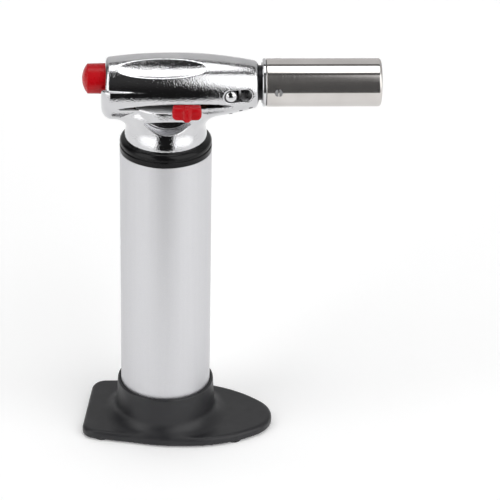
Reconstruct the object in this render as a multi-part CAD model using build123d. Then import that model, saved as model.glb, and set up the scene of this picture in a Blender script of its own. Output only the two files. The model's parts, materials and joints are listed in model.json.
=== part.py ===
from build123d import *
from math import cos, pi, sin, sqrt
import os

# A bench-top butane torch. Millimetres. The tank's axis is X = Y = 0, the feet stand on Z = 0,
# and the flame leaves along +X. The lever side is -Y.

# Driving dimensions
TANK_R = 24.0
TANK_WALL = 1.2
TANK_BOTTOM = 6.5
TANK_TOP = 164.7
COLLAR_TOP = 26.5
NOZZLE_Z = 202.0
FLAME_TUBE_R = 12.55
FLAME_TUBE_WALL = 0.6
FLAME_TUBE_END = 110.7
BARREL_REAR = -31.0
BARREL_FRONT = 47.4
NECK_R = 20.5
NECK_TOP = 194.2
BUTTON_Z = NOZZLE_Z + 2.6
LEVER_X = 10.4
AIR_KNOB_X = 33.0

# Clearances
SLIP = 0.02
RUNNING = 0.05

# End caps and their seal grooves
CAP_R = TANK_R - TANK_WALL - SLIP
GROOVE = 1.6

# Stand
STAND_TURN = -7.0
STAND_REAR = -43.0
BELLY_X = 9.0
BELLY_Y = 30.3
NOSE_X = 58.1
NOSE_R = 19.0
REAR_SIDE_DROP = 330.0
REAR_CORNER_R = 7.0
RIM_BOTTOM = 1.0
PLATE_TOP = 5.5
PLATE_WALL = 2.2
RIM_ROUND = 1.8
SOCKET_R = TANK_R + 0.08
SOCKET_WALL_R = 26.3
COLLAR_R = 25.8
FLARE_R = 6.5
FLARE_START_R = 26.6
RIM_WIDTH = 2.0
ACCESS_R = 9.0
FOOT_R = 4.5
FOOT_INSET = 0.6
REAR_FOOT_X = -32.0
FRONT_FOOT_X = 39.0

# Head
WALL = 1.8
FLANGE_R = 21.1
FLANGE_BOTTOM = 170.8
NECK_FLOOR_TOP = 175.0
NECK_CORE_R = 17.8
SLOT_HEIGHT = 3.05
SLOT_REAR = -25.0
SLOT_FRONT = 34.0
SLOT_BACK = -12.2
POCKET_X = 0.7
POCKET_LOWER_R = 16.3
POCKET_BOTTOM = 181.65
POCKET_UPPER_R = 34.8
POCKET_TOP = 189.0
POCKET_BACK = -12.0
BARREL_MIDDLE = 2.0
BARREL_HALF_WIDTH = 16.6
BARREL_FLAT = 0.7
BARREL_DOWN = 19.4
BARREL_SLICES = 8
BARREL_ROUND = 2.2
LEDGE_RISE = 2.0
SCALLOP_REACH = 15.2
SCALLOP_ANGLE = 54.0
WINDOW_X = 36.7
WINDOW_Z = NOZZLE_Z - 1.6
WINDOW_LENGTH = 14.2
WINDOW_HEIGHT = 6.8
BEZEL_R = 9.0
BUTTON_R = 8.0
BUTTON_REAR = -43.0
BUTTON_SKIRT = -27.5
DOME_HEIGHT = 3.0
BUTTON_WALL = 1.5
MOUNT_NECK_R = 9.0

# Rear bulge slices: x, half-width and reach below the nozzle's axis
BULGE = [
    (-33.3, 13.0, 14.0),
    (-30.5, 15.4, 17.2),
    (-26.0, 16.4, 18.6),
    (-14.0, 16.7, 19.2),
    (-2.0, 16.5, 19.2),
]

# Burner line
MIXING_R = 5.2
MIXING_START = 20.0
AIR_PORT_X = 40.5
AIR_PORT_R = 2.1
SLEEVE_R = 6.2
STUD_R = 1.18
SLEEVE_LIP_R = 8.6
SLEEVE_LIP_TOP = NOZZLE_Z + 5.0
KNOB_R = 3.2
KNOB_FACE = -14.8
KNOB_BACK = -13.0
LEAD_Z = NOZZLE_Z + 7.9
BURNER_START = 84.0
BURNER_END = 93.0
MOUNT_REAR = BARREL_FRONT - 4.5
SCREW_X = 57.5
SCREW_HEAD_R = 2.0
SCREW_SHANK_R = 1.5
SCREW_TURNS = (0, 120, 240)
RING_START = 49.3
RING_END = 51.3

# Gas valve
STEM_R = 5.0
BLOCK_BOTTOM = 182.0
BLOCK_TOP = 190.0
SPOOL_Y = -4.0
SPOOL_Z = 186.0
SPOOL_R = 2.0
SPOOL_LENGTH = 12.0
SPOOL_GROOVES = (2.0, 10.0)
GROOVE_DEPTH = 0.5
PIN_R = 1.2
LEVER_TRAVEL = 16.0
LEVER_FACE = -22.8
LEVER_BACK = -20.6
LEVER_TOP = 198.1
LEVER_BOTTOM = 191.3
RIB_BOTTOM = 190.6

os.makedirs("parts", exist_ok=True)


def save(name, shape):
    """Write one sub-part to its own STEP file."""
    shape.label = name
    export_step(shape, "parts/" + name + ".step")


def disc(radius, low, high, x=0.0, y=0.0):
    """Upright cylinder from one height to another."""
    return Pos(x, y, (low + high) / 2) * Cylinder(radius, high - low)


def pipe(outer, inner, low, high, x=0.0, y=0.0):
    """Upright tube."""
    return disc(outer, low, high, x, y) - disc(inner, low - 1, high + 1, x, y)


def rod(radius, start, end, y=0.0, z=NOZZLE_Z):
    """Cylinder along X."""
    return Pos((start + end) / 2, y, z) * Rot(0, 90, 0) * Cylinder(radius, end - start)


def rod_tube(outer, inner, start, end, y=0.0, z=NOZZLE_Z):
    """Tube along X."""
    return rod(outer, start, end, y, z) - rod(inner, start - 1, end + 1, y, z)


def cross_rod(radius, start, end, x, z):
    """Cylinder along Y."""
    return Pos(x, (start + end) / 2, z) * Rot(90, 0, 0) * Cylinder(radius, end - start)


def block(x0, x1, y0, y1, z0, z1):
    """Box between two corners."""
    return Pos((x0 + x1) / 2, (y0 + y1) / 2, (z0 + z1) / 2) * Box(x1 - x0, y1 - y0, z1 - z0)


def spun(points):
    """Solid turned about the tank's axis from (radius, height) points."""
    outline = Polyline(*[(r, 0, z) for r, z in points], close=True)
    return revolve(make_face(outline), Axis.Z)


def spun_about_nozzle(points):
    """Solid turned about the nozzle's axis from (x, radius) points."""
    outline = Polyline(*[(x, 0, NOZZLE_Z + r) for x, r in points], close=True)
    return revolve(make_face(outline), Axis((0, 0, NOZZLE_Z), (1, 0, 0)))


def about_nozzle(shape, turn):
    """Shape turned about the nozzle's axis."""
    return shape.rotate(Axis((0, 0, NOZZLE_Z), (1, 0, 0)), turn)


def coil(radius, wire_r, start, end, turns):
    """Upright compression spring as one swept helix, centred on Z."""
    height = end - start - 2 * wire_r
    path = Helix(pitch=height / turns, height=height, radius=radius)
    section = Plane(origin=path @ 0, z_dir=path % 0) * Circle(wire_r)
    return Pos(0, 0, start + wire_r) * sweep(section, path, is_frenet=True)


def wire(corners, bend_r, radius):
    """Round wire or pipe along straight runs with rounded bends."""
    path = FilletPolyline(*corners, radius=bend_r)
    return sweep(Plane(origin=path @ 0, z_dir=path % 0) * Circle(radius), path)


def side_curve():
    """Depth of the front side arc's centre beyond the axis, and the arc's radius."""
    reach = NOSE_X - NOSE_R - BELLY_X
    gap = BELLY_Y - NOSE_R
    drop = (reach**2 - gap**2) / (2 * gap)
    return drop, BELLY_Y + drop


def front_side(x):
    """Half-width of the stand's plan in front of its widest place."""
    drop, radius = side_curve()
    return sqrt(radius**2 - (x - BELLY_X) ** 2) - drop


def rear_side(x):
    """Half-width of the stand's plan behind its widest place."""
    return sqrt((BELLY_Y + REAR_SIDE_DROP) ** 2 - (x - BELLY_X) ** 2) - REAR_SIDE_DROP


def stand_outline():
    """D-shaped plan of the stand: a straight rear edge, bowed sides and a round nose."""
    nose_centre = NOSE_X - NOSE_R
    reach = nose_centre - BELLY_X
    drop = side_curve()[0]
    centre_gap = sqrt(reach**2 + drop**2)
    join_x = nose_centre + NOSE_R * reach / centre_gap
    join_y = NOSE_R * drop / centre_gap
    middle_x = (BELLY_X + join_x) / 2
    rear_middle_x = (BELLY_X + STAND_REAR) / 2
    edges = [ThreePointArc((join_x, join_y), (NOSE_X, 0), (join_x, -join_y))]
    for side in (1, -1):
        belly = (BELLY_X, side * BELLY_Y)
        front = (join_x, side * join_y)
        rear = (STAND_REAR, side * rear_side(STAND_REAR))
        edges.append(ThreePointArc(belly, (middle_x, side * front_side(middle_x)), front))
        edges.append(ThreePointArc(rear, (rear_middle_x, side * rear_side(rear_middle_x)), belly))
    edges.append(Line((STAND_REAR, -rear_side(STAND_REAR)), (STAND_REAR, rear_side(STAND_REAR))))
    plan = make_face(edges)
    return fillet(plan.vertices().sort_by(Axis.X)[:2], REAR_CORNER_R)


def foot_places():
    """Centres of the four feet, just inside the rim."""
    inset = FOOT_R + FOOT_INSET
    rear_y = rear_side(REAR_FOOT_X) - inset
    front_y = front_side(FRONT_FOOT_X) - inset
    places = ((REAR_FOOT_X, rear_y), (FRONT_FOOT_X, front_y))
    return [(x, side * y) for x, y in places for side in (1, -1)]


def turned(stand_part):
    """Stand part in its place, turned a little about the tank's axis."""
    return Rot(0, 0, STAND_TURN) * stand_part


def base_plate():
    """D-shaped plate with a rolled rim, hollow below, open where the collar's flare begins."""
    plan = stand_outline()
    inner_plan = offset(plan, -RIM_WIDTH)
    plate = Pos(0, 0, RIM_BOTTOM) * extrude(plan, PLATE_TOP - RIM_BOTTOM)
    plate = fillet(plate.edges().group_by(Axis.Z)[-1], RIM_ROUND)
    underside = extrude(inner_plan, PLATE_TOP - PLATE_WALL)
    opening = disc(FLARE_START_R + FLARE_R, -1, PLATE_TOP + 1) & extrude(inner_plan, PLATE_TOP + 1)
    plate = plate - underside - opening
    for x, y in foot_places():
        plate = plate + disc(FOOT_R, RIM_BOTTOM, PLATE_TOP - PLATE_WALL, x, y)
    return turned(plate)


def base_collar():
    """Flared collar with the tank's socket, its floor and a ring round the access hole."""
    flare_end = FLARE_START_R + FLARE_R
    flare_z = PLATE_TOP + FLARE_R
    hollow_r = FLARE_R + PLATE_WALL
    hollow_start = flare_z - sqrt(hollow_r**2 - (flare_end - SOCKET_WALL_R) ** 2)
    diagonal = sqrt(0.5)
    hollow_middle_x = (flare_end + SOCKET_WALL_R) / 2
    hollow_middle = flare_z - sqrt(hollow_r**2 - (flare_end - hollow_middle_x) ** 2)
    floor = TANK_BOTTOM - PLATE_WALL
    ring = ACCESS_R + PLATE_WALL
    edges = [
        Line((flare_end, 0, PLATE_TOP - PLATE_WALL), (flare_end, 0, PLATE_TOP)),
        ThreePointArc(
            (flare_end, 0, PLATE_TOP),
            (flare_end - FLARE_R * diagonal, 0, flare_z - FLARE_R * diagonal),
            (FLARE_START_R, 0, flare_z),
        ),
        Polyline(
            (FLARE_START_R, 0, flare_z),
            (COLLAR_R, 0, COLLAR_TOP - 0.5),
            (COLLAR_R - 0.5, 0, COLLAR_TOP),
            (SOCKET_R + 0.3, 0, COLLAR_TOP),
            (SOCKET_R, 0, COLLAR_TOP - 0.3),
            (SOCKET_R, 0, TANK_BOTTOM),
            (ACCESS_R, 0, TANK_BOTTOM),
            (ACCESS_R, 0, 0),
            (ring, 0, 0),
            (ring, 0, floor),
            (SOCKET_R, 0, floor),
            (SOCKET_R, 0, RIM_BOTTOM),
            (SOCKET_WALL_R, 0, RIM_BOTTOM),
            (SOCKET_WALL_R, 0, hollow_start),
        ),
        ThreePointArc(
            (SOCKET_WALL_R, 0, hollow_start),
            (hollow_middle_x, 0, hollow_middle),
            (flare_end, 0, PLATE_TOP - PLATE_WALL),
        ),
    ]
    collar = revolve(make_face(edges), Axis.Z)
    inside_rim = Pos(0, 0, -1) * extrude(offset(stand_outline(), -RIM_WIDTH), COLLAR_TOP + 2)
    return turned(collar & inside_rim)


def base_feet():
    """Four soft pads under the stand."""
    return turned(Compound([disc(FOOT_R - 0.3, 0, RIM_BOTTOM, x, y) for x, y in foot_places()]))


def section(x, half_width, up, down):
    """Egg-shaped slice across the head at x: half-ellipses above and below the nozzle's axis."""
    top = EllipticalCenterArc((0, 0), half_width, up, start_angle=0, arc_size=180)
    bottom = EllipticalCenterArc((0, 0), half_width, down, start_angle=180, arc_size=180)
    return Plane(origin=(x, 0, NOZZLE_Z), x_dir=(0, 1, 0), z_dir=(1, 0, 0)) * make_face([top, bottom])


def barrel_body(inset):
    """Barrel as one smooth loft, thickest at its middle, moved in by inset."""
    slices = []
    length = BARREL_FRONT - BARREL_REAR
    for step in range(BARREL_SLICES + 1):
        x = BARREL_REAR + length * step / BARREL_SLICES
        taper = (x - BARREL_MIDDLE) ** 2
        half_width = BARREL_HALF_WIDTH - 0.00225 * taper
        down = BARREL_DOWN - 0.0033 * taper
        slices.append(section(x, half_width - inset, half_width - BARREL_FLAT - inset, down - inset))
    return loft(slices)


def rear_bulge(inset):
    """Lower rear of the head, which stands out round the barrel below a ledge."""
    slices = []
    for x, half_width, down in BULGE:
        slices.append(section(x, half_width - inset, half_width - inset, down - inset))
    return loft(slices) & block(-40, 0, -40, 40, NOZZLE_Z - 40, NOZZLE_Z + LEDGE_RISE)


def pocket(grow):
    """Lens-shaped finger pocket under the lever, grown for its wall."""
    back = POCKET_BACK + grow
    lower_z = POCKET_BOTTOM + POCKET_LOWER_R
    upper_z = POCKET_TOP - POCKET_UPPER_R
    lower = cross_rod(POCKET_LOWER_R + grow, -26, back, POCKET_X, lower_z)
    upper = cross_rod(POCKET_UPPER_R + grow, -26, back, POCKET_X, upper_z)
    return lower & upper


def lever_slot():
    """Long low arch cut over the neck, where the lever's arm passes and slides."""
    rear = (SLOT_REAR, 0, NECK_TOP)
    front = (SLOT_FRONT, 0, NECK_TOP)
    crest = ((SLOT_REAR + SLOT_FRONT) / 2, 0, NECK_TOP + SLOT_HEIGHT)
    arch = make_face([ThreePointArc(rear, crest, front), Line(front, rear)])
    return Pos(0, SLOT_BACK, 0) * extrude(arch, 20, dir=(0, -1, 0))


def oval_window(side):
    """Long oval air window through one side of the barrel."""
    half = (WINDOW_LENGTH - WINDOW_HEIGHT) / 2
    radius = WINDOW_HEIGHT / 2
    low, high = sorted((side * 6.0, side * 20.0))
    middle = block(WINDOW_X - half, WINDOW_X + half, low, high, WINDOW_Z - radius, WINDOW_Z + radius)
    ends = [cross_rod(radius, low, high, WINDOW_X + end * half, WINDOW_Z) for end in (1, -1)]
    return middle + ends[0] + ends[1]


def scallop(side):
    """Flat-bottomed cut that leaves a long oval facet on the upper side of the barrel."""
    tool = block(-32, 34, -20, 20, SCALLOP_REACH, SCALLOP_REACH + 10)
    return Pos(0, 0, NOZZLE_Z) * Rot(side * (SCALLOP_ANGLE - 90), 0, 0) * tool


def head_housing():
    """Plated casting: barrel, rear bulge, neck and flange, hollow inside."""
    neck = spun(
        [
            (0, FLANGE_BOTTOM),
            (FLANGE_R, FLANGE_BOTTOM),
            (FLANGE_R, 172.2),
            (20.5, 173.4),
            (19.6, 176.6),
            (19.7, 182.0),
            (NECK_R, 189.0),
            (NECK_R, NECK_TOP),
            (0, NECK_TOP),
        ]
    )
    barrel = barrel_body(0)
    for side in (1, -1):
        barrel = barrel - scallop(side)
    ends = barrel.faces().filter_by(Axis.X).sort_by(Axis.X)
    barrel = fillet(ends[0].edges() + ends[-1].edges(), BARREL_ROUND)
    shape = barrel + rear_bulge(0) + neck
    core = disc(NECK_CORE_R, NECK_FLOOR_TOP, NECK_TOP - WALL) - pocket(WALL)
    middle = block(BARREL_REAR + 2, BARREL_FRONT - 2, -40, 40, NOZZLE_Z - 40, NOZZLE_Z + 40)
    inside = (barrel_body(WALL) & middle) - pocket(WALL)
    shape = shape - inside - core - pocket(0) - lever_slot()
    shape = shape - disc(STEM_R + 0.1, FLANGE_BOTTOM - 1, NECK_FLOOR_TOP + 1)
    shape = shape - rod(BEZEL_R + SLIP, -36, BARREL_REAR + 4, z=BUTTON_Z)
    shape = shape - rod(MOUNT_NECK_R + SLIP, MOUNT_REAR - 0.5, BARREL_FRONT + 2)
    for side in (1, -1):
        shape = shape - oval_window(side)
    return shape


def button_bezel():
    """Ring that lines the hole for the button and holds the igniter in."""
    return rod_tube(BEZEL_R, BUTTON_R + 0.15, BARREL_REAR + 0.2, BARREL_REAR + 3.0, z=BUTTON_Z)


def ignition_button():
    """Domed cap with a skirt that slides in the bezel, open behind."""
    dome_r = (BUTTON_R**2 + DOME_HEIGHT**2) / (2 * DOME_HEIGHT)
    shell = rod(BUTTON_R, BUTTON_REAR, BUTTON_SKIRT, z=BUTTON_Z)
    dome = Pos(BUTTON_REAR + dome_r, 0, BUTTON_Z) * Sphere(dome_r)
    shell = shell & (dome + rod(BUTTON_R + 1, BUTTON_REAR + dome_r, BUTTON_SKIRT, z=BUTTON_Z))
    cavity_start = BUTTON_REAR + DOME_HEIGHT + BUTTON_WALL
    return shell - rod(BUTTON_R - BUTTON_WALL, cavity_start, BUTTON_SKIRT + 1, z=BUTTON_Z)


def tank_tube():
    """Drawn tank wall, which is also the handle."""
    return pipe(TANK_R, TANK_R - TANK_WALL, TANK_BOTTOM, TANK_TOP)


def tank_bottom_cap():
    """Dished end cap with a seal groove and a threaded boss for the refill valve."""
    return spun(
        [
            (4.6, 12.0),
            (8.0, 12.0),
            (17.0, 14.0),
            (20.0, 14.0),
            (20.0, 8.0),
            (CAP_R, 8.0),
            (CAP_R, 13.0),
            (CAP_R - GROOVE, 13.0),
            (CAP_R - GROOVE, 15.2),
            (CAP_R, 15.2),
            (CAP_R, 18.0),
            (4.6, 18.0),
        ]
    )


def tank_top_cap():
    """End cap that carries the gas valve, with a spigot that the head stands on."""
    spigot_r = 21.0 - SLIP
    return spun(
        [
            (STEM_R + SLIP, 156.0),
            (CAP_R, 156.0),
            (CAP_R, 158.8),
            (CAP_R - GROOVE, 158.8),
            (CAP_R - GROOVE, 161.0),
            (CAP_R, 161.0),
            (CAP_R, TANK_TOP),
            (spigot_r, TANK_TOP),
            (spigot_r, FLANGE_BOTTOM),
            (12.0, FLANGE_BOTTOM),
            (12.0, 162.0),
            (STEM_R + SLIP, 162.0),
        ]
    )


def top_ring():
    """Grooved trim ring between the tank and the head."""
    return spun(
        [
            (21.0, TANK_TOP),
            (TANK_R, TANK_TOP),
            (TANK_R, 167.4),
            (23.4, 167.9),
            (23.4, 168.5),
            (TANK_R, 169.0),
            (TANK_R, 170.6),
            (23.4, 171.5),
            (22.4, 172.0),
            (FLANGE_R + 0.1, 172.0),
            (FLANGE_R + 0.1, FLANGE_BOTTOM),
            (21.0, FLANGE_BOTTOM),
        ]
    )


def seal(middle):
    """Flattened O-ring in an end cap's groove."""
    return pipe(CAP_R, CAP_R - GROOVE + SLIP, middle - 0.8, middle + 0.8)


def refill_valve_body():
    """Turned valve body, open below for a filler and above to the tank."""
    body = disc(4.58, 9.0, 25.0) - disc(2.2, 8, 12.0) - disc(1.5, 11, 26) - disc(3.2, 14.0, 23.5)
    return body - disc(2.4, 22, 26) + pipe(6.4, 4.58, 18.0, 20.0)


def refill_valve_stem():
    """Hollow-tipped stem with a collar that the spring pushes down on the seal."""
    return disc(1.45, 9.6, 24.0) + disc(2.9, 15.4, 16.6)


def refill_valve_spring():
    """Compression spring above the stem's collar."""
    return coil(2.1, 0.35, 16.65, 23.4, 5)


def refill_valve_seal():
    """Washer under the stem's collar."""
    return pipe(3.1, 1.5, 14.02, 15.38)


def gas_valve_body():
    """Brass valve: a stem through both caps, and a block with a cross bore for the spool."""
    stem = disc(STEM_R, 150.0, BLOCK_BOTTOM)
    upper = block(-14, 15.5, -8, 5, BLOCK_BOTTOM, BLOCK_TOP)
    shape = stem + upper - rod(SPOOL_R + RUNNING, -20, 20, SPOOL_Y, SPOOL_Z)
    reach = PIN_R + 0.3
    low = LEVER_X - LEVER_TRAVEL - reach
    slot = block(low, LEVER_X + reach, SPOOL_Y - reach, SPOOL_Y + reach, SPOOL_Z, BLOCK_TOP + 1)
    shape = shape - slot - disc(1.3, 149, 184.0)
    return shape - cross_rod(1.25, 1.0, 6.0, 8.0, SPOOL_Z)


def valve_nut():
    """Hexagon nut that clamps the head down on the tank."""
    nut = Pos(0, 0, NECK_FLOOR_TOP) * extrude(RegularPolygon(8.0, 6), 4.0)
    return nut - disc(STEM_R + SLIP, 170, 185)


def valve_spool():
    """Grooved slide that meters the gas, with a cross hole for the drive pin."""
    start = LEVER_X - 7.0
    spool = rod(SPOOL_R, start, start + SPOOL_LENGTH, SPOOL_Y, SPOOL_Z)
    for place in SPOOL_GROOVES:
        middle = start + place
        spool = spool - rod_tube(3, SPOOL_R - GROOVE_DEPTH, middle - 0.5, middle + 0.5, SPOOL_Y, SPOOL_Z)
    return spool - disc(PIN_R + SLIP, SPOOL_Z - 1, SPOOL_Z + 5, LEVER_X, SPOOL_Y)


def spool_seals():
    """Two small O-rings in the spool's grooves."""
    inner = SPOOL_R - GROOVE_DEPTH + SLIP
    rings = []
    for place in SPOOL_GROOVES:
        middle = LEVER_X - 7.0 + place
        rings.append(rod_tube(SPOOL_R, inner, middle - 0.46, middle + 0.46, SPOOL_Y, SPOOL_Z))
    return Compound(rings)


def drive_pin():
    """Steel pin that joins the lever to the spool."""
    return disc(PIN_R, SPOOL_Z - 0.9, NECK_TOP + 2.0, LEVER_X, SPOOL_Y)


def gas_lever():
    """Lever: an arm through the slot, a top plate, two wings and a centre rib."""
    arm = block(LEVER_X - 3, LEVER_X + 3, LEVER_BACK, SPOOL_Y + 2.5, NECK_TOP + 0.2, NECK_TOP + 2.2)
    arm = arm - disc(PIN_R + SLIP, NECK_TOP - 1, NECK_TOP + 3, LEVER_X, SPOOL_Y)
    plate = block(LEVER_X - 7.2, LEVER_X + 7.2, LEVER_FACE, -17.3, NECK_TOP + 0.5, LEVER_TOP)
    wings = block(LEVER_X - 7.5, LEVER_X + 7.5, LEVER_FACE, LEVER_BACK, LEVER_BOTTOM, LEVER_TOP - 0.1)
    wings = fillet(wings.edges().filter_by(Axis.Y), 2.6)
    rib = block(LEVER_X - 1.9, LEVER_X + 1.9, LEVER_FACE - 1.6, LEVER_BACK, RIB_BOTTOM, LEVER_TOP + 0.3)
    rib = fillet(rib.edges().filter_by(Axis.Y), 1.2)
    return arm + plate + wings + rib


def pickup_wick():
    """Felt wick that draws liquid up the tank to the valve."""
    return disc(2.0, 26.5, 150.0)


def gas_pipe():
    """Bent copper pipe from the valve block to the jet."""
    corners = [
        (8, 5, SPOOL_Z),
        (8, 10, SPOOL_Z),
        (8, 10, NOZZLE_Z),
        (8, 0, NOZZLE_Z),
        (17, 0, NOZZLE_Z),
    ]
    return wire(corners, 3.0, 1.2)


def gas_jet():
    """Brass jet with a fine bore, in the rear end of the mixing tube."""
    jet = rod(3.0, 17.0, MIXING_START) + rod(4.1, MIXING_START, 26.0) - rod(0.4, 19.0, 27.0)
    return jet - rod(0.8, 16.0, 20.5)


def mixing_tube():
    """Tube where gas and air mix, with four air ports under the sleeve."""
    tube = rod_tube(MIXING_R, MIXING_R - 1.0, MIXING_START, BURNER_START)
    tube = tube - cross_rod(AIR_PORT_R, -8, 8, AIR_PORT_X, NOZZLE_Z)
    return tube - disc(AIR_PORT_R, NOZZLE_Z - 8, NOZZLE_Z + 8, AIR_PORT_X)


def air_sleeve():
    """Sleeve that slides over the air ports, with a lip at its front end."""
    front = AIR_KNOB_X + 5.3
    sleeve = rod_tube(SLEEVE_R, MIXING_R + RUNNING, AIR_KNOB_X - 4.5, front)
    lip = rod_tube(SLEEVE_LIP_R, MIXING_R + RUNNING, front - 1.2, front)
    lip = lip & block(front - 2, front + 1, -10, 10, NOZZLE_Z - 10, SLEEVE_LIP_TOP)
    return sleeve + lip - cross_rod(STUD_R + SLIP, -8, 0, AIR_KNOB_X, WINDOW_Z)


def air_knob():
    """Round knob outside the oval window, on a stud in the sleeve."""
    knob = cross_rod(KNOB_R, KNOB_FACE, KNOB_BACK, AIR_KNOB_X, WINDOW_Z)
    knob = fillet(knob.edges().sort_by(Axis.Y)[0], 1.2)
    shank = cross_rod(KNOB_R - 0.9, KNOB_BACK, -8.6, AIR_KNOB_X, WINDOW_Z)
    return knob + shank + cross_rod(STUD_R, -8.6, -5.7, AIR_KNOB_X, WINDOW_Z)


def burner_mount():
    """Stepped plug that joins the head, the mixing tube and the flame tube."""
    plug_r = FLAME_TUBE_R - FLAME_TUBE_WALL - SLIP
    shoulder = RING_END + 0.2
    plug = spun_about_nozzle(
        [
            (MOUNT_REAR, MIXING_R + SLIP),
            (MOUNT_REAR, MOUNT_NECK_R),
            (RING_START, MOUNT_NECK_R),
            (RING_START, 10.6),
            (shoulder, 10.6),
            (shoulder, plug_r),
            (62.0, plug_r),
            (62.0, 9.0),
            (53.5, 9.0),
            (53.5, MIXING_R + SLIP),
        ]
    )
    plug = plug - rod(0.85, 40, 55, z=LEAD_Z - 0.4)
    for turn in SCREW_TURNS:
        plug = plug - about_nozzle(cross_rod(SCREW_SHANK_R + SLIP, -14, -8.5, SCREW_X, NOZZLE_Z), turn)
    return plug


def tube_rear_ring():
    """Bright ring that finishes the rear of the flame tube."""
    return spun_about_nozzle(
        [
            (RING_START, 10.62),
            (RING_START, 11.9),
            (RING_START + 0.5, FLAME_TUBE_R),
            (RING_END - 0.3, FLAME_TUBE_R),
            (RING_END, FLAME_TUBE_R - 0.3),
            (RING_END, 10.62),
        ]
    )


def flame_tube():
    """Thin stainless tube with its mouth rolled in."""
    roll = 3.0
    inner_roll = roll - FLAME_TUBE_WALL
    diagonal = sqrt(0.5)
    start = RING_END + 0.2
    bend = FLAME_TUBE_END - roll
    outer = NOZZLE_Z + FLAME_TUBE_R
    inner = outer - FLAME_TUBE_WALL
    lip = outer - roll
    inner_end = FLAME_TUBE_END - FLAME_TUBE_WALL
    roll_middle = (bend + roll * diagonal, 0, outer - roll * (1 - diagonal))
    inner_middle = (bend + inner_roll * diagonal, 0, inner - inner_roll * (1 - diagonal))
    edges = [
        Polyline((bend, 0, inner), (start, 0, inner), (start, 0, outer), (bend, 0, outer)),
        ThreePointArc((bend, 0, outer), roll_middle, (FLAME_TUBE_END, 0, lip)),
        Line((FLAME_TUBE_END, 0, lip), (inner_end, 0, lip)),
        ThreePointArc((inner_end, 0, lip), inner_middle, (bend, 0, inner)),
    ]
    tube = revolve(make_face(edges), Axis((0, 0, NOZZLE_Z), (1, 0, 0)))
    for turn in SCREW_TURNS:
        tube = tube - about_nozzle(cross_rod(SCREW_HEAD_R + 0.1, -14, -10, SCREW_X, NOZZLE_Z), turn)
    return tube


def tube_screws():
    """Three small slotted screws that hold the flame tube on its plug."""
    face = -FLAME_TUBE_R
    seat = face + FLAME_TUBE_WALL
    head = cross_rod(SCREW_HEAD_R, face, seat, SCREW_X, NOZZLE_Z)
    shank = cross_rod(SCREW_SHANK_R, seat, -9.4, SCREW_X, NOZZLE_Z)
    slot = block(SCREW_X - 0.3, SCREW_X + 0.3, face - 1, face + 0.35, NOZZLE_Z - 3, NOZZLE_Z + 3)
    screw = head + shank - slot
    return Compound([about_nozzle(screw, turn) for turn in SCREW_TURNS])


def burner_head():
    """Flame holder: a cup on the mixing tube with two rings of ports and a centre port."""
    outer = FLAME_TUBE_R - FLAME_TUBE_WALL - SLIP
    low = BURNER_START - 1
    high = BURNER_END + 1
    head = rod(outer, BURNER_START, BURNER_END) - rod(MIXING_R - 0.4, low, BURNER_END - 4)
    head = head - rod(1.85, low, high, z=LEAD_Z) - rod(1.8, BURNER_START, high)
    for step in range(8):
        angle = 2 * pi * step / 8
        head = head - rod(0.75, BURNER_START, high, 3.5 * cos(angle), NOZZLE_Z + 3.5 * sin(angle))
    for step in range(14):
        angle = pi / 2 + 2 * pi * (step + 1) / 15
        head = head - rod(1.1, low, high, 8.6 * cos(angle), NOZZLE_Z + 8.6 * sin(angle))
    return head


def electrode_insulator():
    """Ceramic tube that carries the spark past the burner."""
    return rod_tube(1.8, 0.55, 66.0, 97.0, z=LEAD_Z)


def spark_electrode():
    """Steel wire from the lead to a tip turned in over the burner."""
    return wire([(64, 0, LEAD_Z), (100, 0, LEAD_Z), (102, 0, NOZZLE_Z + 4)], 1.5, 0.5)


def spark_lead():
    """Insulated wire from the igniter to the electrode."""
    z = LEAD_Z - 0.4
    corners = [
        (4.5, 0, BUTTON_Z),
        (13, 0, BUTTON_Z),
        (17, 0, z),
        (56, 0, z),
        (60, 0, LEAD_Z),
        (64, 0, LEAD_Z),
    ]
    return wire(corners, 2.0, 0.7)


def piezo_body():
    """Igniter case with a blind bore for the plunger."""
    return rod(4.8, -24.0, 4.5, z=BUTTON_Z) - rod(3.65, -25.0, -9.0, z=BUTTON_Z)


def piezo_plunger():
    """Plunger that the button pushes into the igniter."""
    return rod(3.6, BUTTON_REAR + DOME_HEIGHT + BUTTON_WALL, -18.0, z=BUTTON_Z)


def piezo_spring():
    """Return spring between the plunger and the bottom of the bore."""
    upright = coil(2.6, 0.4, 0, 8.9, 5)
    return Pos(-17.95, 0, BUTTON_Z) * Rot(0, 90, 0) * upright


save("base_plate", base_plate())
save("base_collar", base_collar())
save("base_feet", base_feet())
save("tank_tube", tank_tube())
save("tank_bottom_cap", tank_bottom_cap())
save("bottom_seal", seal(14.1))
save("refill_valve_body", refill_valve_body())
save("refill_valve_stem", refill_valve_stem())
save("refill_valve_spring", refill_valve_spring())
save("refill_valve_seal", refill_valve_seal())
save("tank_top_cap", tank_top_cap())
save("top_seal", seal(159.9))
save("top_ring", top_ring())
save("pickup_wick", pickup_wick())
save("gas_valve_body", gas_valve_body())
save("valve_nut", valve_nut())
save("valve_spool", valve_spool())
save("spool_seals", spool_seals())
save("drive_pin", drive_pin())
save("gas_lever", gas_lever())
save("gas_pipe", gas_pipe())
save("gas_jet", gas_jet())
save("mixing_tube", mixing_tube())
save("air_sleeve", air_sleeve())
save("air_knob", air_knob())
save("head_housing", head_housing())
save("button_bezel", button_bezel())
save("ignition_button", ignition_button())
save("burner_mount", burner_mount())
save("tube_rear_ring", tube_rear_ring())
save("flame_tube", flame_tube())
save("tube_screws", tube_screws())
save("burner_head", burner_head())
save("electrode_insulator", electrode_insulator())
save("spark_electrode", spark_electrode())
save("spark_lead", spark_lead())
save("piezo_body", piezo_body())
save("piezo_plunger", piezo_plunger())
save("piezo_spring", piezo_spring())
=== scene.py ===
import json
import math

import bmesh
import bpy
import numpy as np
from mathutils import Matrix, Vector


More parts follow.
